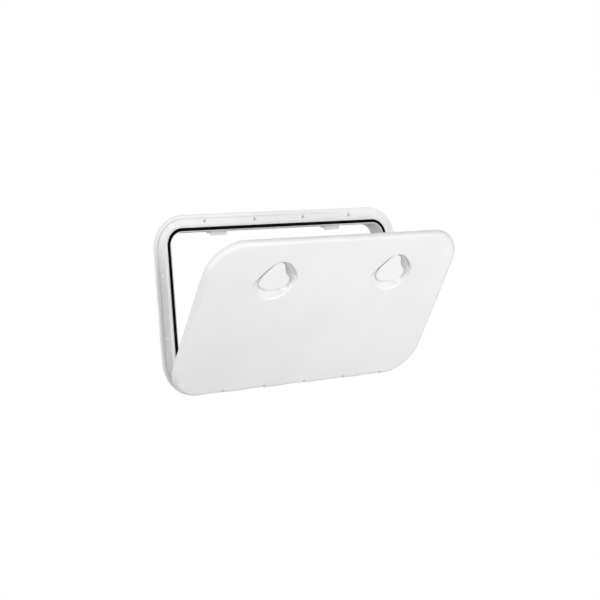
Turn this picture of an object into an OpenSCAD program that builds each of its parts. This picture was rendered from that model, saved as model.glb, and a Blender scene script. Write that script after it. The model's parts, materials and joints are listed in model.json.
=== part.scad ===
// Rectangular deck hatch: a moulded frame with a drain gutter, a rubber seal and a neck that drops
// through the deck, and an overlapping lid on a full-width rod hinge with two quarter-turn handles.
// The origin is the centre of the frame on the deck plane: +X runs along the hinge, +Y points from
// the hinge to the free edge and +Z points out of the deck. The lid is drawn shut, then swung open.

/* [Frame] */
// Overall length of the frame, along the hinge
frame_w = 606; // [600:1:620]
// Overall width of the frame
frame_h = 353; // [348:1:365]
// Radius of the frame's outer corners
corner_r = 70; // [66:1:74]
// Height of the gutter floor above the deck
gutter_z = 2.2; // [2:0.1:2.6]
// Width of the raised outer lip
lip_w = 9; // [7:0.5:10]
// Height of the outer lip above the deck
lip_z = 3.8; // [3.4:0.1:4]
// Depth of the neck below the deck
neck_depth = 33; // [30:1:50]
// Inside length of the neck
opening_w = 533; // [528:1:536]
// Inside width of the neck
opening_h = 285.2; // [280:0.2:288]
// Corner radius inside the neck
opening_r = 27.3; // [24:0.1:32]
// Wall thickness of the neck
neck_wall = 3; // [2.5:0.1:3.5]

/* [Seal] */
// Width of the seal groove
seal_w = 6.6; // [6:0.1:7]
// Thickness of the thin lip between the groove and the opening
seal_lip = 1.7; // [1.5:0.1:2]
// Thickness of the coaming wall outside the groove
coaming_wall = 2.6; // [2.2:0.1:3]
// Height of the coaming's top above the deck
coaming_z = 7.4; // [7:0.1:7.6]
// Height of the seal's crown above the deck
seal_z = 8.3; // [8:0.1:8.5]

/* [Fixing holes] */
// Radius of the screw holes
screw_r = 2.25; // [2:0.05:2.6]
// Radius of the countersinks
sink_r = 4.2; // [3.8:0.1:4.5]
// Distance from the outer edge to the screw holes
screw_inset = 13.8; // [13:0.1:15]
// Spacing of the four holes along the free side
free_pitch = 121; // [110:1:125]
// Spacing of the four holes along the hinge side
hinge_screw_pitch = 100; // [96:1:104]
// Spacing of the two holes on each short side
side_pitch = 122.8; // [110:0.1:130]

/* [Lid] */
// Angle at which the lid stands open
lid_open = 36.4; // [0:0.1:105]
// Height of the lid's top face above the deck when shut
lid_z = 17.4; // [17:0.1:18]
// Wall thickness of the lid
lid_t = 3; // [2.8:0.1:3.2]
// How far the lid stands past the frame on both ends and the free side
lid_overhang = 4; // [3:0.5:5]
// Radius of the lid's upper edge
border_r = 10; // [9:0.5:11]
// Height of the lid's lower edge above the deck when shut
skirt_z = 4.2; // [4.1:0.1:4.5]
// Depth of the stiffening ribs below the lid's skin
rib_depth = 7; // [4:0.5:8]

/* [Hinge] */
// Distance from the frame's outer edge to the hinge axis
hinge_inset = 5.2; // [5.1:0.05:5.3]
// Height of the hinge axis above the deck
hinge_z = 8.4; // [8.4:0.05:8.6]
// Outer radius of the hinge knuckles
knuckle_r = 5; // [4.8:0.05:5]
// Length of each frame knuckle
knuckle_w = 46; // [42:1:47]
// Spacing of the frame knuckles
knuckle_pitch = 100; // [96:1:100]
// Side gap between a frame knuckle and the lid
knuckle_gap = 2; // [1.5:0.1:2.5]
// Radius of the hinge rod
rod_r = 2; // [1.8:0.05:2.1]

/* [Handles] */
// Distance between the two handle spindles
handle_spacing = 286.8; // [280:0.2:292]
// Distance from the hinge axis to the spindles
handle_v = 257; // [255:0.5:258]
// Radius of the handle's round side
heel_r = 35.6; // [35:0.1:35.8]
// Radius of the handle's nose
nose_r = 17.6; // [17:0.1:17.8]
// Thickness of the handle at its edge
blade_t = 1.6; // [1.4:0.1:1.7]
// Depth of the finger pocket beside each handle
dish_depth = 16; // [15:0.5:17]
// Radius of the spindle
spindle_r = 8; // [7.8:0.1:8.2]

/* [Latches] */
// Length of the latch tongue from the spindle's centre
tongue_l = 52.5; // [51:0.1:52.8]
// Width of the latch tongue
tongue_w = 14; // [12:0.5:15]
// Thickness of the latch tongue
tongue_t = 3.5; // [3:0.1:3.6]
// Width of each keeper
keeper_w = 38; // [36:1:40]
// Height of the keepers' ledge above the deck, so below it
keeper_z = -14; // [-14.5:0.1:-13.8]
// Thickness of the keeper's ledge and back plate
keeper_t = 3.2; // [3:0.1:3.3]

/* [Hidden] */

$fn = 96;
hull_fn = 32;
eps = 0.01;
clear = 0.3;        // gap between faces of parts that move past each other
run = 0.05;         // radial running clearance of a shaft in its bore
press = 0.02;       // radial clearance of a part that is held in its bore

half_w = frame_w / 2;
half_h = frame_h / 2;
axis_y = hinge_inset - half_h;

// Frame and seal
groove_in_w = opening_w + 2 * seal_lip;
groove_in_h = opening_h + 2 * seal_lip;
groove_in_r = opening_r + seal_lip;
groove_z = 3.2;
coaming_grow = seal_lip + seal_w + coaming_wall;
sink_depth = 1.4;

// Hinge: the lip is cut away over the straight stretch, and the barrels end past the last knuckle
knuckle_x = [for (i = [-2:2]) i * knuckle_pitch];
notch_w = knuckle_w + 2 * knuckle_gap;
barrel_r = knuckle_r + 0.1;
hinge_half = knuckle_x[4] + notch_w / 2 + 18;
lip_cut_half = half_w - corner_r + 31;
plug_l = 3;

// Keepers and their screws
keeper_drop = 15;
keeper_shift = 3.5;       // the keepers sit this far past the spindles, where the tongues stop
keeper_reach = 8.6;
keeper_chamfer = 2;
keeper_screw_x = 12;
keeper_screw_z = keeper_z - 10.5;
keeper_screw_r = 1.25;
keeper_head_r = 3.1;
keeper_head_t = 1.6;

// Lid: the land presses on the seal, and the ribs stiffen the skin
lid_w = frame_w + 2 * lid_overhang;
lid_h = frame_h + lid_overhang;
lid_corner_r = corner_r + lid_overhang;
border_steps = 9;
land_w = 2.8;
land_z = seal_z + clear;
rib_t = 2.4;
rib_pitch_x = 75;
rib_pitch_y = 50;

// Dish, measured from the spindle's axis and the lid's top face
handle_y = axis_y + handle_v;
dish_floor_t = 3;
dish_r = 51.5;            // round side
dish_heel_r = 58;         // flatter arc behind the handle's heel
dish_heel_y = 22;
dish_free_side = 48.9;    // distance of the flat side towards the lid's free edge
dish_wall_angle = 138.8;  // direction in which the straight stop wall lies
dish_wall = 40;
dish_pocket_angle = 50;   // direction of the flat side beyond the finger pocket
dish_pocket = 47.6;
dish_nose_gap = 2;        // gap between the handle's nose and the dish at rest
dish_corner_r = 9;
dish_step = 2.6;          // depth of the terrace round the dish
dish_floor = 6.9;         // depth below the handle
dish_deep_y = 10;         // the floor is flat beyond this, and slopes up to the terrace before it
slope_r = 35.5;

// Finger pocket: its mouth in the terrace and its smaller bottom, on the dish's round side
pocket_angle = 15;
pocket_from = 17;
mouth_inset = 3;
mouth_y = -20;
bottom_inset = 17;
bottom_y = -3;

// Handle: a thin edge, thicker towards the spindle, with a scoop beside the nose for a finger
heel_at = [-1.8, 1.4];    // centre of the round side
nose_at = [-1.3, 29.3];
handle_heel_r = 60;       // flatter arc across the heel
handle_heel_y = 44;
scoop_r = 26.6;
scoop_at = [42, 38];
handle_corner_r = 6;
handle_top_gap = 0.3;
handle_bottom = -6.3;
hub_top_r = 16;           // radius of the thick middle at its bottom

// Latch below the dish, from the boss down to the tongue
boss_r = 14;
boss_bottom = -dish_depth - dish_floor_t - 5;
shoulder_gap = 0.5;
wave_t = 0.6;
wave_gap = 0.4;
thrust_t = 1;
thrust_gap = 0.1;
wave_z = boss_bottom - shoulder_gap - wave_t;
thrust_z = wave_z - wave_gap - thrust_t;
hub_top = thrust_z - thrust_gap;
hub_r = 12;
keeper_gap = 0.4;
tongue_top = keeper_z - keeper_t - keeper_gap - lid_z;
tongue_bottom = tongue_top - tongue_t;
square_a = 10;
lug_angle = 20;
lug_reach = 4;
lug_t = 4;
lug_step = 0.4;           // height of the hub's top above the lug's
stop_angle = 14;
stop_clear = 1.5;
stop_h = 7;
o_ring_z = -dish_depth - 3.4;
o_ring_r = 0.78;
o_ring_pitch = 7.2;
tongue_screw_r = 2;
screw_head_t = 2.6;
washer_t = 1;

// ---- plan shapes -------------------------------------------------------------------------------

// Rectangle w by h with round corners of radius r, from plain squares and circles
module rounded(w, h, r) {
    square([w - 2 * r, h], center = true);
    square([w, h - 2 * r], center = true);
    for (sx = [-1, 1], sy = [-1, 1])
        translate([sx * (w / 2 - r), sy * (h / 2 - r)])
            circle(r);
}

// Rounded rectangle ring that stands d outside the given rectangle
module ring(w, h, r, d) {
    difference() {
        rounded(w + 2 * d, h + 2 * d, r + d);
        rounded(w, h, r);
    }
}

// Slab between two heights
module slab(z0, z1) {
    translate([0, 0, z0])
        linear_extrude(z1 - z0)
            children();
}

// Moves what is centred on the frame to the middle of the shut lid
module lid_centred() {
    translate([0, lid_overhang / 2, 0])
        children();
}

// Sweeps a section round the lid's edge. The section's x is 0 at the edge and negative inwards.
module edge_sweep() {
    straight_x = lid_w - 2 * lid_corner_r;
    straight_y = lid_h - 2 * lid_corner_r;
    lid_centred() {
        for (a = [0, 180]) {
            rotate([0, 0, a])
                translate([lid_w / 2, straight_y / 2, 0])
                    rotate([90, 0, 0])
                        linear_extrude(straight_y)
                            children();
            rotate([0, 0, a])
                translate([-straight_x / 2, lid_h / 2, 0])
                    rotate([90, 0, 90])
                        linear_extrude(straight_x)
                            children();
        }
        for (i = [0:3]) {
            sx = (i == 0 || i == 3) ? 1 : -1;
            sy = i < 2 ? 1 : -1;
            translate([sx * straight_x / 2, sy * straight_y / 2, 0])
                rotate([0, 0, i * 90])
                    rotate_extrude(angle = 90)
                        translate([lid_corner_r, 0])
                            children();
        }
    }
}

// ---- frame -------------------------------------------------------------------------------------

module knuckle_bores(r) {
    translate([-half_w, axis_y, hinge_z])
        rotate([0, 90, 0])
            cylinder(r = r, h = frame_w);
}

module countersunk_hole(x, y) {
    translate([x, y, -1])
        cylinder(r = screw_r, h = gutter_z + 2);
    translate([x, y, gutter_z - sink_depth])
        cylinder(r1 = screw_r, r2 = sink_r, h = sink_depth + eps);
}

module fixing_holes() {
    for (i = [-1.5:1.5]) {
        countersunk_hole(i * free_pitch, half_h - screw_inset);
        countersunk_hole(i * hinge_screw_pitch, screw_inset - half_h);
    }
    for (sx = [-1, 1], sy = [-1, 1])
        countersunk_hole(sx * (half_w - screw_inset), sy * side_pitch / 2);
}

module frame_knuckle(x) {
    translate([x - knuckle_w / 2, axis_y, hinge_z])
        rotate([0, 90, 0])
            cylinder(r = knuckle_r, h = knuckle_w);
    translate([x - knuckle_w / 2, axis_y - knuckle_r, 0])
        cube([knuckle_w, 2 * knuckle_r, hinge_z]);
}

module frame() {
    color("white")
    difference() {
        union() {
            slab(0, gutter_z)
                rounded(frame_w, frame_h, corner_r);
            difference() {
                slab(0, lip_z)
                    ring(frame_w - 2 * lip_w, frame_h - 2 * lip_w, corner_r - lip_w, lip_w);
                translate([-lip_cut_half, -half_h - 1, gutter_z])
                    cube([2 * lip_cut_half, lip_w + 3, lip_z]);
            }
            slab(0, coaming_z)
                rounded(opening_w + 2 * coaming_grow, opening_h + 2 * coaming_grow,
                        opening_r + coaming_grow);
            slab(-neck_depth, eps)
                rounded(opening_w + 2 * neck_wall, opening_h + 2 * neck_wall,
                        opening_r + neck_wall);
            for (x = knuckle_x)
                frame_knuckle(x);
        }
        slab(-neck_depth - 1, coaming_z + 1)
            rounded(opening_w, opening_h, opening_r);
        slab(groove_z, coaming_z + 1)
            ring(groove_in_w, groove_in_h, groove_in_r, seal_w);
        fixing_holes();
        knuckle_bores(rod_r + run);
        keeper_screw_holes(keeper_screw_r + run);
    }
}

// Bulb seal: a rectangular foot in the groove under a rounded crown
module seal() {
    foot_gap = 0.1;
    crown_step = 1.2;
    color("#111111") {
        slab(groove_z, seal_z - crown_step)
            ring(groove_in_w + 2 * foot_gap, groove_in_h + 2 * foot_gap, groove_in_r + foot_gap,
                 seal_w - 2 * foot_gap);
        slab(seal_z - crown_step, seal_z)
            ring(groove_in_w + 2 * crown_step, groove_in_h + 2 * crown_step,
                 groove_in_r + crown_step, seal_w - 2 * crown_step);
    }
}

// ---- keepers on the neck's free side -----------------------------------------------------------

// Outline of a keeper's ledge, from the neck's wall inwards, with chamfered corners
module keeper_ledge() {
    half = keeper_w / 2;
    front = keeper_t - keeper_reach;
    polygon([[-half, 0.5], [half, 0.5], [half, front + keeper_chamfer], [half - keeper_chamfer, front],
             [keeper_chamfer - half, front], [-half, front + keeper_chamfer]]);
}

function keeper_x(side) = side * handle_spacing / 2 + keeper_shift;

module keeper(side) {
    color("white")
    difference() {
        translate([keeper_x(side), opening_h / 2, keeper_z]) {
            translate([-keeper_w / 2, -keeper_t, -keeper_drop])
                cube([keeper_w, keeper_t, keeper_drop]);
            translate([0, -keeper_t, -keeper_t])
                linear_extrude(keeper_t)
                    keeper_ledge();
        }
        keeper_screw_holes(keeper_screw_r + 0.45);
        keeper_screw_sinks();
    }
}

// Each screw's axis points through the keeper into the neck's wall, from the keeper's face
module at_keeper_screws() {
    for (side = [-1, 1], dx = [-keeper_screw_x, keeper_screw_x])
        translate([keeper_x(side) + dx, opening_h / 2 - keeper_t, keeper_screw_z])
            rotate([-90, 0, 0])
                children();
}

module keeper_screw_holes(r) {
    at_keeper_screws()
        cylinder(r = r, h = keeper_t + neck_wall + 1);
}

module keeper_screw_sinks() {
    at_keeper_screws()
        translate([0, 0, -eps])
            cylinder(r1 = keeper_head_r + press, r2 = keeper_screw_r + 0.35, h = keeper_head_t + eps);
}

module keeper_screws() {
    slot_l = 3.2;
    slot_w = 0.7;
    slot_depth = 0.9;
    color("silver")
    difference() {
        at_keeper_screws() {
            cylinder(r1 = keeper_head_r, r2 = keeper_screw_r, h = keeper_head_t);
            cylinder(r = keeper_screw_r, h = keeper_t + neck_wall - clear);
        }
        at_keeper_screws()
            for (a = [0, 90])
                rotate([0, 0, a])
                    translate([-slot_l / 2, -slot_w / 2, -eps])
                        cube([slot_l, slot_w, slot_depth]);
    }
}

// ---- lid ---------------------------------------------------------------------------------------

// Swings what is drawn shut to the angle at which the lid stands open
module swung() {
    translate([0, axis_y, hinge_z])
        rotate([lid_open, 0, 0])
            translate([0, -axis_y, -hinge_z])
                children();
}

// Lid's edge, d inside its outer surface, from above its rounding down to its lower end
function border_line(d) = concat(
    [[-2 * border_r, lid_z - d]],
    [for (i = [0:border_steps]) let (a = 90 * i / border_steps, r = border_r - d)
        [r * sin(a) - border_r, lid_z - border_r + r * cos(a)]],
    [[-d, skirt_z]]);

function reversed(list) = [for (i = [len(list) - 1:-1:0]) list[i]];

// Section through everything below the lid's outer surface near its edge
module border_envelope() {
    polygon(concat(border_line(0), [[-2 * border_r, skirt_z]]));
}

// Section through the wall of the lid's edge
module border_section() {
    polygon(concat(border_line(0), reversed(border_line(lid_t))));
}

// Handle's place on the shut lid: origin on the spindle's axis, level with the lid's top face
module at_handle(side) {
    translate([side * handle_spacing / 2, handle_y, lid_z])
        children();
}

// Everything on the spindle's side of a line that lies at a distance in a direction
module half_plane(angle, distance) {
    far = 100;
    rotate([0, 0, angle])
        translate([-far, -far])
            square([far + distance, 2 * far]);
}

// Corner between the stop wall and the flat free side, outside the curve that follows the nose
module nose_corner() {
    far = 100;
    translate(nose_at)
        difference() {
            polygon([[0, 0], [0, far], far * [cos(dish_wall_angle), sin(dish_wall_angle)]]);
            circle(nose_r + dish_nose_gap);
        }
}

// Plan of the dish: a round recess with a straight stop wall on one flank
module dish_plan(shrink) {
    offset(r = dish_corner_r, $fn = hull_fn)
        offset(delta = -dish_corner_r - shrink)
            difference() {
                intersection() {
                    circle(dish_r);
                    translate([0, dish_heel_y])
                        circle(dish_heel_r);
                    half_plane(dish_wall_angle, dish_wall);
                    half_plane(dish_pocket_angle, dish_pocket);
                    half_plane(90, dish_free_side);
                }
                nose_corner();
            }
}

// Plan of the finger pocket: the dish beyond a line beside the spindle and above another
module pocket_plan(inset, grow, from_y) {
    far = 100;
    intersection() {
        dish_plan(inset - grow);
        rotate([0, 0, pocket_angle])
            translate([pocket_from - grow, -far])
                square([far, 2 * far]);
        translate([0, from_y - grow])
            square(far);
    }
}

// The dish's hollow, grown by a wall thickness for its shell: a terrace, a slope and a flat floor
// below the handle, and the finger pocket
module dish_shape(grow, top) {
    translate([0, 0, -dish_step - grow])
        linear_extrude(dish_step + grow + top)
            dish_plan(-grow);
    translate([0, 0, -dish_floor - grow])
        cylinder(r1 = hub_top_r + grow, r2 = slope_r + grow, h = dish_floor - dish_step + eps);
    translate([0, 0, -dish_floor - grow])
        linear_extrude(dish_floor + grow + top)
            intersection() {
                dish_plan(-grow);
                translate([-dish_r - grow, dish_deep_y - grow])
                    square(2 * dish_r);
            }
    hull() {
        translate([0, 0, -dish_step - grow])
            linear_extrude(2 * eps)
                pocket_plan(mouth_inset, grow, mouth_y);
        translate([0, 0, -dish_depth - grow])
            linear_extrude(eps)
                pocket_plan(bottom_inset, grow, bottom_y);
    }
}

module lid_barrels() {
    translate([-hinge_half, axis_y, hinge_z])
        rotate([0, 90, 0])
            cylinder(r = barrel_r, h = 2 * hinge_half);
}

// Slots through the lid's rear edge, open above, with room for the knuckles to turn in
module knuckle_notches() {
    room = 0.8;
    rear = -half_h - 3;
    bottom = skirt_z - 5;
    for (x = knuckle_x)
        translate([x - notch_w / 2, rear, bottom])
            cube([notch_w, axis_y + knuckle_r + room - rear, lid_z + 1 - bottom]);
}

module lid_ribs() {
    rib_z = lid_z - lid_t - rib_depth;
    intersection() {
        union() {
            for (i = [-3:3])
                translate([i * rib_pitch_x - rib_t / 2, -half_h, rib_z])
                    cube([rib_t, frame_h, rib_depth + 1]);
            for (i = [-2:1])
                translate([-half_w, i * rib_pitch_y - rib_t / 2, rib_z])
                    cube([frame_w, rib_t, rib_depth + 1]);
        }
        slab(0, lid_z - 1)
            rounded(opening_w - 14, opening_h - 14, opening_r);
    }
}

// Two stops below the boss, a quarter turn apart, that the tongue's lug runs between
module boss_stops() {
    for (a = [180 - lug_angle / 2 - stop_clear - stop_angle, 270 + lug_angle / 2 + stop_clear])
        rotate([0, 0, a])
            translate([0, 0, boss_bottom - stop_h])
                rotate_extrude(angle = stop_angle)
                    translate([hub_r + 0.4, 0])
                        square([lug_reach, stop_h + eps]);
}

module lid() {
    color("white")
    swung()
    difference() {
        union() {
            difference() {
                union() {
                    edge_sweep()
                        border_section();
                    lid_centred()
                        slab(lid_z - lid_t, lid_z)
                            rounded(lid_w - 4 * border_r + eps, lid_h - 4 * border_r + eps,
                                    lid_corner_r - 2 * border_r);
                }
                translate([-half_w, -half_h - 1, 0])
                    cube([frame_w, axis_y + half_h + 1, hinge_z]);
            }
            slab(land_z, lid_z - 1)
                ring(groove_in_w + seal_w - land_w, groove_in_h + seal_w - land_w,
                     groove_in_r + (seal_w - land_w) / 2, land_w);
            lid_ribs();
            lid_barrels();
            for (side = [-1, 1])
                at_handle(side) {
                    dish_shape(dish_floor_t, -1);
                    translate([0, 0, boss_bottom])
                        cylinder(r = boss_r, h = -boss_bottom - dish_floor - 1);
                    boss_stops();
                }
        }
        for (side = [-1, 1])
            at_handle(side) {
                dish_shape(0, 1);
                translate([0, 0, boss_bottom - 1])
                    cylinder(r = spindle_r + run, h = 30);
            }
        knuckle_notches();
        knuckle_bores(rod_r + press);
    }
}

module hinge_rod() {
    color("silver")
    translate([-hinge_half + plug_l, axis_y, hinge_z])
        rotate([0, 90, 0])
            cylinder(r = rod_r, h = 2 * (hinge_half - plug_l));
}

// Plugs in the ends of the rod's bore, flush with the rounded corners that the bore breaks out of
module hinge_rod_plugs() {
    color("white")
    swung()
    intersection() {
        for (side = [-1, 1])
            translate([side * (hinge_half - plug_l + 0.2), axis_y, hinge_z])
                rotate([0, 90 * side, 0])
                    cylinder(r = rod_r, h = half_w - hinge_half);
        edge_sweep()
            border_envelope();
    }
}

// ---- handles and latches, drawn with the spindle on the Z axis and the lid's face at 0 ----------

// Plan of the handle: a round heel drawn out to a smaller nose by tangents, with a flatter end and
// the scoop, and with round corners
module handle_plan() {
    reach = nose_at - heel_at;
    toward = atan2(reach.y, reach.x);
    spread = acos((heel_r - nose_r) / norm(reach));
    tangents = [for (a = [toward + spread, toward - spread]) [cos(a), sin(a)]];
    offset(r = handle_corner_r, $fn = hull_fn)
        offset(delta = -handle_corner_r)
            difference() {
                intersection() {
                    union() {
                        translate(heel_at)
                            circle(heel_r);
                        translate(nose_at)
                            circle(nose_r);
                        polygon([heel_at + heel_r * tangents[0], nose_at + nose_r * tangents[0],
                                 nose_at + nose_r * tangents[1], heel_at + heel_r * tangents[1]]);
                    }
                    translate([0, handle_heel_y])
                        circle(handle_heel_r);
                }
                translate(scoop_at)
                    circle(scoop_r);
            }
}

module o_ring_groove() {
    groove_r = o_ring_pitch - o_ring_r - 0.04;
    groove_h = 2 * o_ring_r + 0.2;
    translate([0, 0, o_ring_z - groove_h / 2])
        rotate_extrude()
            translate([groove_r, 0])
                square([spindle_r - groove_r + 1, groove_h]);
}

// Blade, thick middle, spindle and the square end that drives the tongue
module handle_body() {
    blade_bottom = -handle_top_gap - blade_t;
    spindle_bottom = boss_bottom - 0.3;
    square_bottom = tongue_bottom + 0.3;
    screw_hole = 14;
    difference() {
        union() {
            translate([0, 0, blade_bottom])
                linear_extrude(blade_t)
                    handle_plan();
            intersection() {
                translate([0, 0, handle_bottom])
                    cylinder(r1 = hub_top_r, r2 = slope_r, h = blade_bottom - handle_bottom + eps);
                translate([0, 0, handle_bottom - 1])
                    linear_extrude(-handle_bottom)
                        handle_plan();
            }
            translate([0, 0, spindle_bottom])
                cylinder(r = spindle_r, h = handle_bottom - spindle_bottom + eps);
            translate([-square_a / 2, -square_a / 2, square_bottom])
                cube([square_a, square_a, spindle_bottom - square_bottom + 1]);
        }
        translate([0, 0, tongue_bottom])
            cylinder(r = tongue_screw_r, h = screw_hole);
        o_ring_groove();
    }
}

module handle(side) {
    color("white")
    swung()
        at_handle(side)
            handle_body();
}

module spindle_o_ring(side) {
    color("#181818")
    swung()
        at_handle(side)
            translate([0, 0, o_ring_z])
                rotate_extrude()
                    translate([o_ring_pitch, 0])
                        circle(o_ring_r, $fn = 24);
}

module washer(z, thickness, r_in, r_out) {
    translate([0, 0, z])
        difference() {
            cylinder(r = r_out, h = thickness);
            translate([0, 0, -1])
                cylinder(r = r_in, h = thickness + 2);
        }
}

module wave_washer(side) {
    color("silver")
    swung()
        at_handle(side)
            washer(wave_z, wave_t, 7.4, 11);
}

module thrust_washer(side) {
    color("white")
    swung()
        at_handle(side)
            washer(thrust_z, thrust_t, 7.3, 11.6);
}

// At rest the tongue lies along the hatch; a quarter turn swings it under the keeper
module tongue_body() {
    bore_a = square_a + 2 * press;
    tip_x = tongue_w / 2 - tongue_l;
    difference() {
        union() {
            slab(tongue_bottom, hub_top)
                circle(hub_r);
            slab(tongue_bottom, tongue_top) {
                translate([tip_x, -tongue_w / 2])
                    square([-tip_x, tongue_w]);
                translate([tip_x, 0])
                    circle(tongue_w / 2);
            }
            rotate([0, 0, 270 - lug_angle / 2])
                translate([0, 0, hub_top - lug_step - lug_t])
                    rotate_extrude(angle = lug_angle)
                        translate([hub_r - 1, 0])
                            square([lug_reach, lug_t]);
        }
        translate([-bore_a / 2, -bore_a / 2, tongue_bottom - 1])
            cube([bore_a, bore_a, hub_top - tongue_bottom + 2]);
    }
}

module latch_tongue(side) {
    color("white")
    swung()
        at_handle(side)
            tongue_body();
}

module tongue_washer(side) {
    color("silver")
    swung()
        at_handle(side)
            washer(tongue_bottom - washer_t, washer_t, 2.2, 8);
}

module tongue_screw(side) {
    head_z = tongue_bottom - washer_t - screw_head_t;
    shank_l = 12;
    slot_l = 4;
    slot_w = 1;
    slot_depth = 1.3;
    color("silver")
    swung()
        at_handle(side)
            difference() {
                union() {
                    translate([0, 0, head_z])
                        cylinder(r1 = 3.2, r2 = 4.4, h = screw_head_t);
                    translate([0, 0, head_z + screw_head_t - eps])
                        cylinder(r = tongue_screw_r - press, h = shank_l);
                }
                for (a = [0, 90])
                    rotate([0, 0, a])
                        translate([-slot_l / 2, -slot_w / 2, head_z - eps])
                            cube([slot_l, slot_w, slot_depth]);
            }
}

frame();
seal();
keeper(-1);  // keeper_left
keeper(1);  // keeper_right
keeper_screws();
hinge_rod();
hinge_rod_plugs();
lid();
handle(-1);  // handle_left
handle(1);  // handle_right
spindle_o_ring(-1);  // spindle_o_ring_left
spindle_o_ring(1);  // spindle_o_ring_right
wave_washer(-1);  // wave_washer_left
wave_washer(1);  // wave_washer_right
thrust_washer(-1);  // thrust_washer_left
thrust_washer(1);  // thrust_washer_right
latch_tongue(-1);  // latch_tongue_left
latch_tongue(1);  // latch_tongue_right
tongue_washer(-1);  // tongue_washer_left
tongue_washer(1);  // tongue_washer_right
tongue_screw(-1);  // tongue_screw_left
tongue_screw(1);  // tongue_screw_right
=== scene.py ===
"""Looks of a rectangular deck hatch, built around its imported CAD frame.

Lengths are in millimetres and become metres where a mesh is made. The frame's pieces are drawn
where they are. The lid's are drawn on the shut lid and then swung open about the hinge, and each
handle's are drawn round its spindle, with the lid's top face at height 0.
"""
import json
import math

import bmesh
import bpy
import numpy as np
from mathutils import Matrix, Vector


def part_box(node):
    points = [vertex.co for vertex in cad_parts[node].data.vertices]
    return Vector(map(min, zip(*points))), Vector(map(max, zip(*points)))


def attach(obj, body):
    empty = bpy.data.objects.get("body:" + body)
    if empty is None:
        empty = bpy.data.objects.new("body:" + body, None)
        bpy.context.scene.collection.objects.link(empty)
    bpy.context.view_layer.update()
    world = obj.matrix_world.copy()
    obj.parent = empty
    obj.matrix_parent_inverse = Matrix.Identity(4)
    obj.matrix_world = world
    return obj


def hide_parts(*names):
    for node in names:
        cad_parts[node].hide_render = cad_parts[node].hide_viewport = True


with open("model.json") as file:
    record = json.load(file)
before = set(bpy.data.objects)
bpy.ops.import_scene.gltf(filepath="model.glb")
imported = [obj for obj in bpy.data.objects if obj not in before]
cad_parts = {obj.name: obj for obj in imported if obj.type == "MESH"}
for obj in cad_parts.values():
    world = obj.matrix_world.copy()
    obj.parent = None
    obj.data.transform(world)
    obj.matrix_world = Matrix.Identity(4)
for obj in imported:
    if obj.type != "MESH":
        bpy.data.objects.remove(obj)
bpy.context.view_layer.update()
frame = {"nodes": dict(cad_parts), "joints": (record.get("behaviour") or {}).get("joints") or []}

MM = 0.001
CORNER_STEPS = 28
FILLET_STEPS = 4
CIRCLE_STEPS = 64
OUTLINE_STEPS = 288
SHARP_ANGLE = math.radians(32)

# ---- sizes, worked out from the frame ------------------------------------------------------------

joints = {j["name"]: j for j in frame["joints"]}
sides = {"left": -1, "right": 1}

frame_lo, frame_hi = (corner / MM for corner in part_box("frame"))
frame_w = frame_hi.x - frame_lo.x
frame_h = frame_hi.y - frame_lo.y
neck_bottom = frame_lo.z
corner_r = 70
gutter_z = 2.2
lip_w = 9
lip_z = 3.8
coaming_z = 7.4
groove_z = 3.2
seal_lip = 1.7
seal_w = 6.6
coaming_wall = 2.6
neck_wall = 3
opening_w = 533
opening_h = 285.2
opening_r = 27.3
seal_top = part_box("seal")[1].z / MM

hinge_at = Vector(joints["lid_hinge"]["pos_m"]) / MM
lid_open = math.radians(-joints["lid_hinge"]["range_deg"][0])
rod_lo, rod_hi = (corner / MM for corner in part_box("hinge_rod"))
rod_r = (rod_hi.z - rod_lo.z) / 2
knuckle_r = frame_hi.z - hinge_at.z
knuckle_w = 46
knuckle_gap = 2
knuckle_pitch = 100
knuckle_x = [knuckle_pitch * i for i in range(-2, 3)]
barrel_r = knuckle_r + 0.1
barrel_half = rod_hi.x + 3
lip_cut_half = frame_w / 2 - corner_r + 31
turning_gap = 0.05

lid_lo, lid_hi = (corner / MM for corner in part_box("lid"))
lid_w = lid_hi.x - lid_lo.x
lid_overhang = (lid_w - frame_w) / 2
lid_h = frame_h + lid_overhang
lid_z = 17.4
lid_t = 3
border_r = 10
skirt_z = 4.2
rib_t = 2.4
rib_depth = 7
rib_pitch_x = 75
rib_pitch_y = 50

swing = (Matrix.Translation(hinge_at) @ Matrix.Rotation(lid_open, 4, "X")
         @ Matrix.Translation(-hinge_at))
handle_x = joints["handle_right_turn"]["pos_m"][0] / MM
handle_y = (swing.inverted() @ (Vector(joints["handle_right_turn"]["pos_m"]) / MM)).y

dish_depth = 16
dish_step = 2.6
dish_floor = 6.9
dish_floor_t = 3
slope_r = 35.5
hub_top_r = 16
heel_at = np.array((-1.8, 1.4))
heel_r = 35.6
nose_at = np.array((-1.3, 29.3))
nose_r = 17.6
stop_wall = 40
stop_wall_angle = 138.8
handle_gap = 0.3
handle_bottom = -6.3
blade_t = 1.6
spindle_r = 8
boss_r = 14
boss_bottom = -dish_depth - dish_floor_t - 5
tongue_bottom = -38.5
tongue_screw_r = 2
hub_r = 12
square_a = 10


# ---- outlines and sections -----------------------------------------------------------------------

def rounded_ring(w, h, r, z):
    """Rectangle w by h with round corners, as a ring of points at one height."""
    ring = []
    for sx, sy, start in ((1, 1, 0), (-1, 1, 90), (-1, -1, 180), (1, -1, 270)):
        for i in range(CORNER_STEPS + 1):
            a = math.radians(start + 90 * i / CORNER_STEPS)
            ring.append((sx * (w / 2 - r) + r * math.cos(a), sy * (h / 2 - r) + r * math.sin(a), z))
    return ring


def from_edge(d, z):
    """Ring that lies d inside the frame's outer edge."""
    return rounded_ring(frame_w - 2 * d, frame_h - 2 * d, corner_r - d, z)


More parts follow.
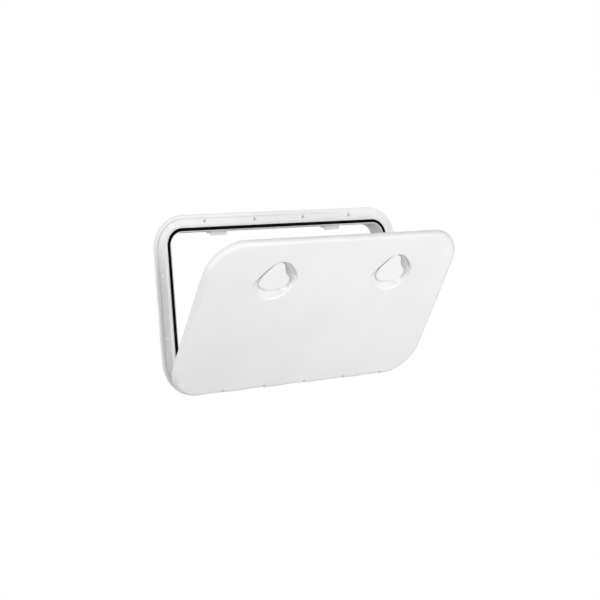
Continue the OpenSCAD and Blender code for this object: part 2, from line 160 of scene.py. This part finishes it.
def from_lid_edge(d, z):
    """Ring that lies d inside the shut lid's outer edge."""
    ring = rounded_ring(lid_w - 2 * d, lid_h - 2 * d, corner_r + lid_overhang - d, z)
    return [(x, y + lid_overhang / 2, z) for x, y, z in ring]


def from_opening(g, z):
    """Ring that lies g outside the opening's wall."""
    return rounded_ring(opening_w + 2 * g, opening_h + 2 * g, opening_r + g, z)


def circle_ring(r, z):
    """Circle round the Z axis, as a ring of points at one height."""
    angles = [2 * math.pi * i / CIRCLE_STEPS for i in range(CIRCLE_STEPS)]
    return [(r * math.cos(a), r * math.sin(a), z) for a in angles]


def fillet(points, steps=FILLET_STEPS):
    """Open section through (across, up, radius) corners, with each corner rounded to its radius."""
    section = [points[0][:2]]
    for before, here, after in zip(points, points[1:], points[2:]):
        corner, r = Vector(here[:2]), here[2]
        back = (Vector(before[:2]) - corner).normalized()
        ahead = (Vector(after[:2]) - corner).normalized()
        half = back.angle(ahead) / 2
        if r <= 0 or half > math.radians(89):
            section.append(tuple(corner))
            continue
        centre = corner + (back + ahead).normalized() * (r / math.sin(half))
        first = corner + back * (r / math.tan(half)) - centre
        last = corner + ahead * (r / math.tan(half)) - centre
        turn = first.angle_signed(last)
        for i in range(steps + 1):
            section.append(tuple(centre + Matrix.Rotation(-turn * i / steps, 2) @ first))
    section.append(points[-1][:2])
    return section


def facing(angle):
    """Unit vector in a direction given in degrees."""
    return np.array((math.cos(math.radians(angle)), math.sin(math.radians(angle))))


def from_circle(points, at, r):
    """Distance of points outside a circle, negative inside."""
    return np.hypot(*(points - at).T) - r


def from_line(points, angle, distance):
    """Distance of points beyond a line that lies at a distance from the spindle in a direction."""
    return points @ facing(angle) - distance


def meet(r, *distances):
    """Distance from the shape that several shapes share, with its corners rounded to about r."""
    beyond = [np.maximum(d + r, 0) for d in distances]
    return np.minimum(np.maximum.reduce(distances), -r) + np.sqrt(sum(b * b for b in beyond))


def from_dish(points):
    """Distance outside the dish: two arcs, a flat, and a straight stop wall that turns into the flat
    on the lid's free side by following the handle's nose."""
    flat, gap = 48.9, 2
    beside = points - nose_at
    turn = np.degrees(np.arctan2(beside[:, 1], beside[:, 0]))
    straight = np.maximum(from_line(points, stop_wall_angle, stop_wall),
                          from_line(points, 90, flat))
    curve = from_circle(points, nose_at, nose_r + gap)
    corner = np.where((turn > 90) & (turn < stop_wall_angle), curve, straight)
    return meet(9, from_circle(points, (0, 0), 51.5), from_circle(points, (0, 22), 58),
                from_line(points, 50, 47.6), corner)


def from_handle(points):
    """Distance outside the handle: a round heel drawn out to a smaller nose by tangents, with a
    flatter end and a scoop for a finger beside the nose."""
    reach = nose_at - heel_at
    length = math.hypot(*reach)
    along = reach / length
    inward = (heel_r - nose_r) / length
    outward = math.sqrt(1 - inward * inward)
    offset = points - heel_at
    up = offset @ along
    side = np.abs(offset @ np.array((along[1], -along[0])))
    past = outward * up - inward * side
    flank = outward * side + inward * up - heel_r
    drawn_out = np.where(past < 0, from_circle(points, heel_at, heel_r),
                         np.where(past > outward * length, from_circle(points, nose_at, nose_r),
                                  flank))
    return meet(6, drawn_out, from_circle(points, (0, 44), 60),
                -from_circle(points, (42, 38), 26.6))


turns = np.linspace(0, 2 * math.pi, OUTLINE_STEPS, endpoint=False)
rays = np.column_stack((np.cos(turns), np.sin(turns)))


def outline(distance, inset):
    """Points on the rays from the spindle where they first come within inset of a shape's edge."""
    reach = np.linspace(4, 64, 481)
    depth = np.array([distance(rays * r) for r in reach]) + inset
    first = np.argmax(depth > 0, axis=0)
    column = np.arange(OUTLINE_STEPS)
    before, after = depth[first - 1, column], depth[first, column]
    step = reach[1] - reach[0]
    return rays * (reach[first] - step * after / (after - before))[:, None]


def at_height(points, z):
    """Ring of flat points lifted to one height."""
    return [(x, y, z) for x, y in points]


# ---- meshes --------------------------------------------------------------------------------------

def make(name, bm, place=Matrix.Identity(4)):
    """Object from a bmesh in millimetres, put in place and then turned into metres."""
    bmesh.ops.recalc_face_normals(bm, faces=bm.faces)
    bm.transform(Matrix.Scale(MM, 4) @ place)
    mesh = bpy.data.meshes.new(name)
    bm.to_mesh(mesh)
    bm.free()
    obj = bpy.data.objects.new(name, mesh)
    bpy.context.scene.collection.objects.link(obj)
    return obj


def add_loft(bm, rings, closed=False, place=Matrix.Identity(4)):
    """Skin over rings of equally many points, closed on itself or capped at both ends."""
    rows = [[bm.verts.new(place @ Vector(p)) for p in ring] for ring in rings]
    count = len(rows[0])
    following = rows[1:] + rows[:1] if closed else rows[1:]
    for a, b in zip(rows, following):
        for i in range(count):
            j = (i + 1) % count
            bm.faces.new((a[i], a[j], b[j], b[i]))
    if not closed:
        bm.faces.new(reversed(rows[0]))
        bm.faces.new(rows[-1])


def loft(name, rings, closed=False, place=Matrix.Identity(4)):
    """Object that is one loft."""
    bm = bmesh.new()
    add_loft(bm, rings, closed)
    return make(name, bm, place)


def add_turned(bm, section, place=Matrix.Identity(4)):
    """Body of revolution about Z through (radius, height) points."""
    add_loft(bm, [circle_ring(r, z) for r, z in section], place=place)


def turned(name, section, place=Matrix.Identity(4)):
    """Object that is one body of revolution."""
    bm = bmesh.new()
    add_turned(bm, section, place)
    return make(name, bm)


def add_block(bm, lo, hi, bevel=0.0):
    """Box between two corners with rounded edges."""
    lo, hi = Vector(lo), Vector(hi)
    matrix = Matrix.Translation((lo + hi) / 2) @ Matrix.Diagonal((*(hi - lo), 1))
    made = bmesh.ops.create_cube(bm, size=1, matrix=matrix)
    if bevel:
        edges = list({e for v in made["verts"] for e in v.link_edges})
        bmesh.ops.bevel(bm, geom=edges, offset=bevel, segments=3, profile=0.5, affect="EDGES")


def block(name, lo, hi, bevel=0.0, place=Matrix.Identity(4)):
    """Object that is one box with rounded edges."""
    bm = bmesh.new()
    add_block(bm, lo, hi, bevel)
    return make(name, bm, place)


def boolean(target, operation, *others):
    """Joins others to the target or cuts them out of it, and removes them."""
    for other in others:
        step = target.modifiers.new("step", "BOOLEAN")
        step.operation = operation
        step.solver = "EXACT"
        step.object = other
        bpy.context.view_layer.update()
        shape = target.evaluated_get(bpy.context.evaluated_depsgraph_get())
        mesh = bpy.data.meshes.new_from_object(shape)
        target.modifiers.clear()
        old, target.data = target.data, mesh
        bpy.data.meshes.remove(old)
        bpy.data.objects.remove(other)
    return target


def finish_piece(obj, body, material, slot, *nodes):
    """Smooths a piece's shading, paints it and puts it on its body in place of its CAD nodes."""
    mesh = obj.data
    bm = bmesh.new()
    bm.from_mesh(mesh)
    bmesh.ops.remove_doubles(bm, verts=bm.verts, dist=1e-6)
    bmesh.ops.dissolve_degenerate(bm, edges=bm.edges, dist=1e-7)
    bm.to_mesh(mesh)
    bm.free()
    mesh.shade_smooth()
    mesh.set_sharp_from_angle(angle=SHARP_ANGLE)
    normals = obj.modifiers.new("normals", "WEIGHTED_NORMAL")
    normals.keep_sharp = True
    mesh.materials.clear()
    mesh.materials.append(material)
    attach(obj, body)
    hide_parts(*nodes)
    return obj


# ---- materials -----------------------------------------------------------------------------------

def shader(name, roughness, metallic=0.0, bump_scale=800.0, bump_depth=0.02, colours=(), spread=6.0,
           rough_scale=60.0, stretch=(1, 1, 1), specular=0.5):
    """Principled material whose colour wanders between two tones, whose gloss varies a little, and
    whose surface has a fine grain. Scales are in waves per metre, and depths in millimetres."""
    material = bpy.data.materials.new(name)
    material.use_nodes = True
    nodes, links = material.node_tree.nodes, material.node_tree.links
    surface = nodes["Principled BSDF"]
    surface.inputs["Metallic"].default_value = metallic
    surface.inputs["Specular IOR Level"].default_value = specular
    place = nodes.new("ShaderNodeTexCoord")
    stretched = nodes.new("ShaderNodeMapping")
    stretched.inputs["Scale"].default_value = stretch
    links.new(place.outputs["Object"], stretched.inputs["Vector"])

    def noise(scale, detail):
        made = nodes.new("ShaderNodeTexNoise")
        made.inputs["Scale"].default_value = scale
        made.inputs["Detail"].default_value = detail
        links.new(stretched.outputs["Vector"], made.inputs["Vector"])
        return made

    tone = nodes.new("ShaderNodeValToRGB")
    tone.color_ramp.elements[0].position = 0.35
    tone.color_ramp.elements[1].position = 0.65
    for element, colour in zip(tone.color_ramp.elements, colours):
        element.color = (*colour, 1)
    links.new(noise(spread, 4).outputs["Fac"], tone.inputs["Fac"])
    links.new(tone.outputs["Color"], surface.inputs["Base Color"])

    gloss = nodes.new("ShaderNodeMapRange")
    gloss.inputs["From Min"].default_value = 0.3
    gloss.inputs["From Max"].default_value = 0.7
    gloss.inputs["To Min"].default_value, gloss.inputs["To Max"].default_value = roughness
    links.new(noise(rough_scale, 3).outputs["Fac"], gloss.inputs["Value"])
    links.new(gloss.outputs["Result"], surface.inputs["Roughness"])

    grain = nodes.new("ShaderNodeBump")
    grain.inputs["Strength"].default_value = 0.5
    grain.inputs["Distance"].default_value = bump_depth * MM
    links.new(noise(bump_scale, 2).outputs["Fac"], grain.inputs["Height"])
    links.new(grain.outputs["Normal"], surface.inputs["Normal"])
    return material


frame_plastic = shader("frame_plastic", (0.34, 0.46), bump_scale=900, bump_depth=0.02,
                       colours=((0.77, 0.775, 0.77), (0.81, 0.81, 0.805)))
lid_plastic = shader("lid_plastic", (0.30, 0.42), bump_scale=1100, bump_depth=0.018,
                     colours=((0.78, 0.785, 0.78), (0.82, 0.82, 0.815)))
handle_plastic = shader("handle_plastic", (0.26, 0.36), bump_scale=1300, bump_depth=0.012,
                        colours=((0.79, 0.79, 0.785), (0.825, 0.825, 0.82)), spread=14)
nylon = shader("nylon", (0.5, 0.62), bump_scale=1600, bump_depth=0.02,
               colours=((0.70, 0.69, 0.65), (0.76, 0.75, 0.71)), spread=30)
rubber = shader("rubber", (0.7, 0.85), bump_scale=1800, bump_depth=0.04, specular=0.04,
                colours=((0.002, 0.002, 0.002), (0.005, 0.005, 0.0055)), spread=40)
steel = shader("steel", (0.2, 0.38), metallic=1.0, bump_scale=700, bump_depth=0.006,
               colours=((0.55, 0.55, 0.53), (0.66, 0.65, 0.63)), spread=60, stretch=(0.15, 3, 3))


# ---- frame ---------------------------------------------------------------------------------------

def frame_rings():
    """Rings round the frame's section: up over the outer lip, across the gutter, over the coaming
    and its groove, and down the neck."""
    outside = fillet([(14, 0, 0), (0, 0, 0.5), (0, lip_z, 1.3), (6.4, lip_z, 1.6),
                      (lip_w + 0.6, gutter_z, 1.8), (15, gutter_z, 0)])
    groove_out = seal_lip + seal_w
    coaming_out = groove_out + coaming_wall
    inside = fillet([(coaming_out + 4, gutter_z, 0), (coaming_out, gutter_z, 1.1),
                     (coaming_out, coaming_z, 0.9), (groove_out, coaming_z, 0.5),
                     (groove_out, groove_z, 0.3), (seal_lip, groove_z, 0.3),
                     (seal_lip, coaming_z, 0.5), (0, coaming_z, 0.7), (0, neck_bottom, 0.9),
                     (neck_wall, neck_bottom, 0.9), (neck_wall, 0, 1.5), (neck_wall + 4, 0, 0)])
    return [from_edge(*p) for p in outside] + [from_opening(*p) for p in inside]


def knuckle(x):
    """One hinge knuckle: a barrel on a foot, with rounded ends."""
    edge = 0.7
    rings = []
    for dx, shrink in ((0, edge), (0.2 * edge, 0.2 * edge + 0.05), (edge, 0),
                       (knuckle_w - edge, 0), (knuckle_w - 0.2 * edge, 0.2 * edge + 0.05),
                       (knuckle_w, edge)):
        r = knuckle_r - shrink
        arc = [math.pi * i / 24 for i in range(25)]
        section = [(r * math.cos(a), r * math.sin(a)) for a in arc]
        section += [(-r, 0.4 - hinge_at.z), (r, 0.4 - hinge_at.z)]
        rings.append([(x - knuckle_w / 2 + dx, hinge_at.y + y, hinge_at.z + z) for y, z in section])
    return loft("knuckle", rings)


def along_x(name, r, x0, x1):
    """Cylinder on the hinge axis."""
    place = Matrix.Translation((x0, hinge_at.y, hinge_at.z)) @ Matrix.Rotation(math.pi / 2, 4, "Y")
    return turned(name, [(r, 0), (r, x1 - x0)], place)


def fixing_holes():
    """Countersunk holes: four along each long side and two on each short side."""
    inset, sink_r, hole_r, sink_depth, above = 13.8, 4.2, 2.25, 1.4, 1.2
    free_pitch, hinge_pitch, end_pitch = 121, knuckle_pitch, 122.8
    wider = sink_r + (sink_r - hole_r) * above / sink_depth
    section = [(hole_r, -2), (hole_r, gutter_z - sink_depth), (wider, gutter_z + above)]
    across, along = frame_w / 2 - inset, frame_h / 2 - inset
    places = [(free_pitch * i, along) for i in (-1.5, -0.5, 0.5, 1.5)]
    places += [(hinge_pitch * i, -along) for i in (-1.5, -0.5, 0.5, 1.5)]
    places += [(sx * across, sy * end_pitch / 2) for sx in (-1, 1) for sy in (-1, 1)]
    bm = bmesh.new()
    for x, y in places:
        add_turned(bm, section, Matrix.Translation((x, y, 0)))
    return make("holes", bm)


def keeper_screw_holes(r):
    """Holes for the keepers' screws, from the opening into the neck's wall."""
    wall_y, z, apart = opening_h / 2 - 3.2, -24.5, 12
    bm = bmesh.new()
    for node in ("keeper_left", "keeper_right"):
        middle = sum(corner.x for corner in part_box(node)) / 2 / MM
        for x in (middle - apart, middle + apart):
            place = Matrix.Translation((x, wall_y, z)) @ Matrix.Rotation(-math.pi / 2, 4, "X")
            add_turned(bm, [(r, 0.5), (r, 10)], place)
    return make("keeper_holes", bm)


def build_frame():
    """The frame: its moulded section, cut low behind the hinge, with knuckles and holes."""
    body = loft("hatch_frame", frame_rings(), closed=True)
    lip_cut = block("lip_cut", (-lip_cut_half, frame_lo.y - 2, gutter_z - 0.02),
                    (lip_cut_half, frame_lo.y + lip_w + 3, lip_z + 4))
    boolean(body, "DIFFERENCE", lip_cut)
    boolean(body, "UNION", *[knuckle(x) for x in knuckle_x])
    boolean(body, "DIFFERENCE", fixing_holes(), keeper_screw_holes(1.3),
            along_x("bore", rod_r + turning_gap, -frame_w / 2, frame_w / 2))
    return finish_piece(body, "frame_body", frame_plastic, "white_frame_plastic", "frame")


def build_seal():
    """Bulb seal: a foot in the groove, two flanks and a domed crown."""
    gap, foot_z, shoulder_z = 0.12, groove_z + 0.05, 6.5
    inner, outer = seal_lip + gap, seal_lip + seal_w - gap
    middle, half = (inner + outer) / 2, (outer - inner) / 2
    section = [(inner, foot_z), (outer, foot_z), (outer, shoulder_z)]
    for i in range(1, 12):
        a = math.pi * i / 12
        across = math.copysign(abs(math.cos(a)) ** 0.8, math.cos(a))
        section.append((middle + half * across,
                        shoulder_z + (seal_top - shoulder_z) * math.sin(a) ** 0.8))
    section.append((inner, shoulder_z))
    seal = loft("bulb_seal", [from_opening(*p) for p in section], closed=True)
    return finish_piece(seal, "frame_body", rubber, "seal_rubber", "seal")


# ---- lid -----------------------------------------------------------------------------------------

def lid_rings():
    """Rings from the middle of the top face, over the round border, round its lower edge and back
    under the skin."""
    steps = 9
    flat, level, edge = 44, 2 * border_r + 2, 0.6

    def border(inset):
        """Points round the border's corner, as distance from the edge and height."""
        r = border_r - inset
        around = [math.pi / 2 * i / steps for i in range(steps + 1)]
        return [(border_r - r * math.sin(a), lid_z - border_r + r * math.cos(a)) for a in around]

    lower = fillet([(0, skirt_z + 3, 0), (0, skirt_z, edge), (lid_t, skirt_z, edge),
                    (lid_t, skirt_z + 3, 0)])[1:-1]
    section = [(flat, lid_z), (level, lid_z)] + border(0) + lower + border(lid_t)[::-1]
    section += [(level, lid_z - lid_t), (flat, lid_z - lid_t)]
    return [from_lid_edge(*p) for p in section]


def lid_ribs():
    """Ribs below the skin, one object for each direction."""
    top = lid_z - lid_t + 1
    bottom = lid_z - lid_t - rib_depth
    half_w, half_h = opening_w / 2 - 7, opening_h / 2 - 7
    across, along = bmesh.new(), bmesh.new()
    half_t, edge = rib_t / 2, 0.7
    for x in [rib_pitch_x * i for i in range(-3, 4)]:
        add_block(across, (x - half_t, -half_h, bottom), (x + half_t, half_h, top), edge)
    for y in [rib_pitch_y * i for i in range(-2, 2)]:
        add_block(along, (-half_w, y - half_t, bottom), (half_w, y + half_t, top), edge)
    return make("ribs_across", across), make("ribs_along", along)


def seal_land():
    """Ring below the skin that presses on the seal."""
    middle, half, top = seal_lip + seal_w / 2, 1.4, lid_z - 1
    bottom = seal_top + 0.3
    section = fillet([(middle - half, top, 0), (middle - half, bottom, 0.9),
                      (middle + half, bottom, 0.9), (middle + half, top, 0)])
    return loft("land", [from_opening(*p) for p in section], closed=True)


def ease(t):
    """Smooth step from 0 to 1."""
    t = np.clip(t, 0, 1)
    return t * t * (3 - 2 * t)


def dish_bed(points):
    """Height of the dish's floor: a terrace, a slope towards the spindle, a flat deep side behind
    the nose, and the finger pocket beside the scoop."""
    r = np.hypot(*points.T)
    drop = dish_floor - dish_step
    slope = np.clip((slope_r - r) / (slope_r - hub_top_r), 0, 1)
    deep_y, blend = 10, 3
    deep = ease((points[:, 1] - deep_y) / blend + 0.5)
    ditch_w, ditch_end = 7, -5
    ditch = (ease(from_line(points, stop_wall_angle, stop_wall - ditch_w))
             * ease((points[:, 1] - ditch_end) / blend))
    inset = -from_dish(points)
    mouth = np.minimum.reduce([inset / 17, (points[:, 1] + 20) / 17, points[:, 0] / 4,
                               from_line(points, 15, 17) / 3])
    return -dish_step - np.maximum(drop * np.maximum.reduce([slope, deep, ditch]),
                                   (dish_depth - dish_step) * np.clip(mouth, 0, 1))


def rim_width():
    """How wide the dish's rim is rounded in each direction: crisp along the stop wall and the nose,
    and soft all round the rest."""
    crisp, soft, blend = 0.3, 3.2, 20
    middle, half = 141, 52
    away = np.abs((np.degrees(turns) - middle + 180) % 360 - 180)
    return crisp + (soft - crisp) * ease((away - half) / blend + 0.5)


def dish_rings(grow):
    """Rings from just inside the dish's outline down its wall and in to the spindle's bore, or the
    same surface a wall's thickness further out."""
    middle = spindle_r - 1
    edge = outline(from_dish, 0.2)
    reach = np.hypot(*edge.T)[:, None]
    outward = outline(from_dish, 0.2 - grow) - edge
    rings = []
    for t in np.concatenate(([0, 0.01, 0.02, 0.03], np.linspace(0.04, 1, 56))):
        points = rays * (reach + (middle - reach) * t)
        shifted = points + outward * (1 - t)
        height = dish_bed(points) * ease(0.75 + 12 * t) - grow
        rings.append(np.column_stack((shifted, height)))
    return rings


def dish_hollow(place):
    """What the dish is cut out with."""
    width = rim_width()
    rings = [at_height(outline(from_dish, -width), 2)]
    steps = 8
    for i in range(steps + 1):
        t = i / steps
        drop = (dish_step - 0.4) * float(ease(t * 0.85 + 0.05))
        rings.append(at_height(outline(from_dish, -width * (1 - t)), -drop if i else 0))
    return loft("hollow", rings + dish_rings(0), place=place)


def dish_shell(place):
    """Outside of the dish below the lid."""
    rings = [at_height(outline(from_dish, -dish_floor_t), -1)]
    return loft("shell", rings + dish_rings(dish_floor_t), place=place)


def boss(place):
    """Boss below the dish that the spindle turns in."""
    section = fillet([(boss_r, -dish_floor - 1, 0), (boss_r, boss_bottom, 0.6),
                      (spindle_r - 2, boss_bottom, 0)])
    return turned("boss", section, place)


def boss_stops(place):
    """The two stops that the tongue's lug runs between."""
    inner, outer, height, span = hub_r + 0.4, hub_r + 4.4, 7, 14
    bm = bmesh.new()
    for start in (154.5, 281.5):
        rings = []
        for z in (boss_bottom - height, boss_bottom + 0.5):
            angles = [math.radians(start + span * i / 6) for i in range(7)]
            ring = [(outer * math.cos(a), outer * math.sin(a), z) for a in angles]
            ring += [(inner * math.cos(a), inner * math.sin(a), z) for a in reversed(angles)]
            rings.append(ring)
        add_loft(bm, rings)
    return make("stops", bm, place)


def at_handle(side):
    """Place of a handle's spindle on the shut lid's top face."""
    return Matrix.Translation((side * handle_x, handle_y, lid_z))


def build_lid():
    """The lid: skin, ribs, hinge barrels and two dishes, cut away round the frame's knuckles."""
    body = loft("hatch_lid", lid_rings())
    rear = frame_lo.y - 3
    boolean(body, "DIFFERENCE", block("rear_cut", (-frame_w / 2 - 1, rear, 0),
                                      (frame_w / 2 + 1, hinge_at.y, hinge_at.z)))
    boolean(body, "UNION", seal_land(), *lid_ribs(), along_x("barrels", barrel_r, -barrel_half,
                                                             barrel_half))
    bore_r = spindle_r + turning_gap
    for side in sides.values():
        place = at_handle(side)
        boolean(body, "UNION", dish_shell(place), boss(place), boss_stops(place))
        boolean(body, "DIFFERENCE", dish_hollow(place),
                turned("bore", [(bore_r, boss_bottom - 2), (bore_r, -4)], place))
    half = knuckle_w / 2 + knuckle_gap
    notches = bmesh.new()
    for x in knuckle_x:
        add_block(notches, (x - half, rear, skirt_z - 5),
                  (x + half, hinge_at.y + knuckle_r + 0.8, lid_z + 2), 0.8)
    boolean(body, "DIFFERENCE", make("notches", notches),
            along_x("bore", rod_r + 0.02, -barrel_half - 30, barrel_half + 30))
    body.data.transform(world_swing())
    return finish_piece(body, "lid_body", lid_plastic, "white_lid_plastic", "lid")


def world_swing():
    """The swing as it acts on meshes that are in metres."""
    return Matrix.Scale(MM, 4) @ swing @ Matrix.Scale(1 / MM, 4)


# ---- handles and latches -------------------------------------------------------------------------

def blade(place):
    """The handle's top piece, thin at its edge and thicker towards the spindle, with soft edges. It
    stands a little further off the stop wall than off the rest of the dish."""
    top, bottom, lip = -handle_gap, -handle_gap - blade_t, 0.8
    section = fillet([(6, top, 0), (0, top, 0.5), (0.1, top - lip, 0.2), (1.6, bottom, 0.3),
                      (3, bottom, 0)])
    off_wall = 0.7 * ease(1.5 - np.abs(np.degrees(turns) - stop_wall_angle) / 30)
    rings = [at_height(outline(from_handle, inset + off_wall), z) for inset, z in section[:-1]]
    edge = outline(from_handle, section[-2][0] + off_wall)
    middle = spindle_r - 1
    reach = np.hypot(*edge.T)[:, None]
    thick = bottom - handle_bottom
    for t in np.linspace(0.02, 1, 30):
        points = rays * (reach + (middle - reach) * t)
        slope = np.clip((slope_r - np.hypot(*points.T)) / (slope_r - hub_top_r), 0, 1)
        rings.append(np.column_stack((points, bottom - thick * slope * min(1, t * 8))))
    return loft("blade", rings, place=place)


def spindle(place):
    """The spindle, with the groove for its O-ring."""
    groove_z0, groove_h, groove_r = -dish_depth - 3.4, 0.88, 6.38
    section = [(spindle_r, handle_bottom + 1), (spindle_r, groove_z0 + groove_h),
               (groove_r, groove_z0 + groove_h), (groove_r, groove_z0 - groove_h),
               (spindle_r, groove_z0 - groove_h), (spindle_r, boss_bottom - 0.3)]
    return turned("spindle", section, place)


def build_handle(name, side):
    """A handle with its spindle, the square for the tongue and the screw's hole."""
    place = at_handle(side)
    body = blade(place)
    body.name = f"turn_{name}"
    square = block("square", (-square_a / 2, -square_a / 2, tongue_bottom + 0.3),
                   (square_a / 2, square_a / 2, boss_bottom + 1), 0.4, place)
    boolean(body, "UNION", spindle(place), square)
    hole = [(tongue_screw_r, tongue_bottom), (tongue_screw_r, tongue_bottom + 14)]
    boolean(body, "DIFFERENCE", turned("bore", hole, place))
    body.data.transform(world_swing())
    return finish_piece(body, f"{name}_body", handle_plastic, "white_lid_plastic", name)


# ---- the build -----------------------------------------------------------------------------------

build_frame()
build_seal()
build_lid()
for word, side in sides.items():
    build_handle(f"handle_{word}", side)

stainless = (steel, "stainless_steel")
white_nylon = (nylon, "white_nylon")
kept_nodes = {"keeper": (frame_plastic, "white_frame_plastic"),
              "hinge_rod_plugs": (lid_plastic, "white_lid_plastic"),
              "spindle_o_ring": (rubber, "seal_rubber"),
              "keeper_screws": stainless, "hinge_rod": stainless, "wave_washer": stainless,
              "tongue_washer": stainless, "tongue_screw": stainless,
              "thrust_washer": white_nylon, "latch_tongue": white_nylon}
for node, obj in frame["nodes"].items():
    stem = node.removesuffix("_left").removesuffix("_right")
    if stem in kept_nodes and not obj.hide_render:
        material, slot_name = kept_nodes[stem]
        obj.data.materials.clear()
        obj.data.materials.append(material)
        edges = obj.modifiers.new("edges", "BEVEL")
        edges.width = 0.25 * MM
        edges.segments = 2
        edges.limit_method = "ANGLE"
        edges.angle_limit = math.radians(50)


# ---- floor, light and camera ---------------------------------------------------------------------

def clear_of_flange(nodes, links):
    """Socket that is 0 on the floor that the flange hides, between the neck and the outer edge, and
    1 elsewhere."""
    hidden, soft = 26, 12

    def vector_node(operation, first, second=(0, 0, 0)):
        made = nodes.new("ShaderNodeVectorMath")
        made.operation = operation
        made.inputs[1].default_value = second
        links.new(first, made.inputs[0])
        return made.outputs["Value" if operation == "LENGTH" else "Vector"]

    def beyond(w, h, r, shift, start, stop):
        """From 0 to 1 between two distances outside a rounded rectangle on the floor."""
        at = vector_node("SUBTRACT", place.outputs["Object"], (shift * MM, 0, neck_bottom * MM))
        apart = vector_node("ABSOLUTE", at)
        corner = vector_node("SUBTRACT", apart, ((w / 2 - r) * MM, (h / 2 - r) * MM, 1))
        made = nodes.new("ShaderNodeMapRange")
        made.interpolation_type = "SMOOTHSTEP"
        made.inputs["From Min"].default_value = (r + start) * MM
        made.inputs["From Max"].default_value = (r + stop) * MM
        links.new(vector_node("LENGTH", vector_node("MAXIMUM", corner)), made.inputs["Value"])
        return made.outputs["Result"]

    place = nodes.new("ShaderNodeTexCoord")
    outside = beyond(frame_w - hidden, frame_h, corner_r, hidden / 2, -soft, 0)
    past_neck = beyond(opening_w + 2 * neck_wall, opening_h + 2 * neck_wall, opening_r + neck_wall,
                       0, 0, 2)
    clear = nodes.new("ShaderNodeMath")
    clear.operation = "SUBTRACT"
    clear.inputs[0].default_value = 1
    links.new(past_neck, clear.inputs[1])
    either = nodes.new("ShaderNodeMath")
    either.operation = "MAXIMUM"
    links.new(outside, either.inputs[0])
    links.new(clear.outputs["Value"], either.inputs[1])
    return either.outputs["Value"]


def build_floor():
    """Pale floor that the neck stands on, sized in metres. To a camera it is evenly bright, except
    under the flange, and it lights the hatch as a grey floor does."""
    half, gap = 60, 0.0005
    mesh = bpy.data.meshes.new("floor")
    z = neck_bottom * MM - gap
    mesh.from_pydata([(-half, -half, z), (half, -half, z), (half, half, z), (-half, half, z)], [],
                     [(0, 1, 2, 3)])
    floor = bpy.data.objects.new("floor", mesh)
    bpy.context.scene.collection.objects.link(floor)
    material = bpy.data.materials.new("floor")
    material.use_nodes = True
    nodes, links = material.node_tree.nodes, material.node_tree.links
    surface = nodes["Principled BSDF"]
    surface.inputs["Base Color"].default_value = (0.62, 0.62, 0.62, 1)
    surface.inputs["Roughness"].default_value = 0.9
    surface.inputs["Specular IOR Level"].default_value = 0.0
    bright = nodes.new("ShaderNodeEmission")
    mixed = nodes.new("ShaderNodeMixShader")
    ray = nodes.new("ShaderNodeLightPath")
    seen_clear = nodes.new("ShaderNodeMath")
    seen_clear.operation = "MULTIPLY"
    links.new(ray.outputs["Is Camera Ray"], seen_clear.inputs[0])
    links.new(clear_of_flange(nodes, links), seen_clear.inputs[1])
    links.new(seen_clear.outputs["Value"], mixed.inputs["Fac"])
    links.new(surface.outputs["BSDF"], mixed.inputs[1])
    links.new(bright.outputs["Emission"], mixed.inputs[2])
    links.new(mixed.outputs["Shader"], nodes["Material Output"].inputs["Surface"])
    mesh.materials.append(material)


def area_light(elevation, azimuth, power):
    """Large square soft light that faces the hatch, at angles in degrees from the deck and from +X.
    Its size and distance are in metres."""
    size, distance = 1.6, 3.2
    data = bpy.data.lights.new(f"light_{elevation}_{azimuth}", "AREA")
    data.size = size
    data.energy = power
    lamp = bpy.data.objects.new(data.name, data)
    bpy.context.scene.collection.objects.link(lamp)
    up, round_z = math.radians(elevation), math.radians(azimuth)
    toward = Vector((math.cos(up) * math.cos(round_z), math.cos(up) * math.sin(round_z),
                     math.sin(up)))
    lamp.location = toward * distance
    lamp.rotation_mode = "QUATERNION"
    lamp.rotation_quaternion = toward.to_track_quat("Z", "Y")


def build_light():
    """Soft light from all round, most of it from above and from both ends of the hatch."""
    world = bpy.data.worlds.new("studio")
    world.use_nodes = True
    sky = world.node_tree.nodes["Background"]
    sky.inputs["Color"].default_value = (1, 1, 1, 1)
    sky.inputs["Strength"].default_value = 0.06
    bpy.context.scene.world = world
    for elevation, azimuth, power in ((25, 180, 37), (50, 180, 31), (25, 315, 26), (75, 0, 37),
                                      (50, 0, 15), (25, 90, 14), (75, 90, 7), (50, 135, 5)):
        area_light(elevation, azimuth, power)


def build_camera():
    """Long lens from the hatch's left, a little above 50 degrees over the deck. Places are in
    metres, and up is the top of the picture."""
    data = bpy.data.cameras.new("camera")
    data.sensor_width = 36
    data.lens = 92.76
    data.clip_start, data.clip_end = 0.1, 50
    camera = bpy.data.objects.new("camera", data)
    bpy.context.scene.collection.objects.link(camera)
    stand = Vector((-1.8545, 0.0349, 2.5596))
    back = (stand - Vector((0.0387, -0.0082, 0))).normalized()
    up = Vector((0.0672, 0.9972, 0.0329))
    right = up.cross(back).normalized()
    camera.matrix_world = Matrix.Translation(stand) @ Matrix(
        (right, back.cross(right), back)).transposed().to_4x4()
    bpy.context.scene.camera = camera


build_floor()
build_light()
build_camera()
bpy.context.scene.view_settings.view_transform = "Standard"
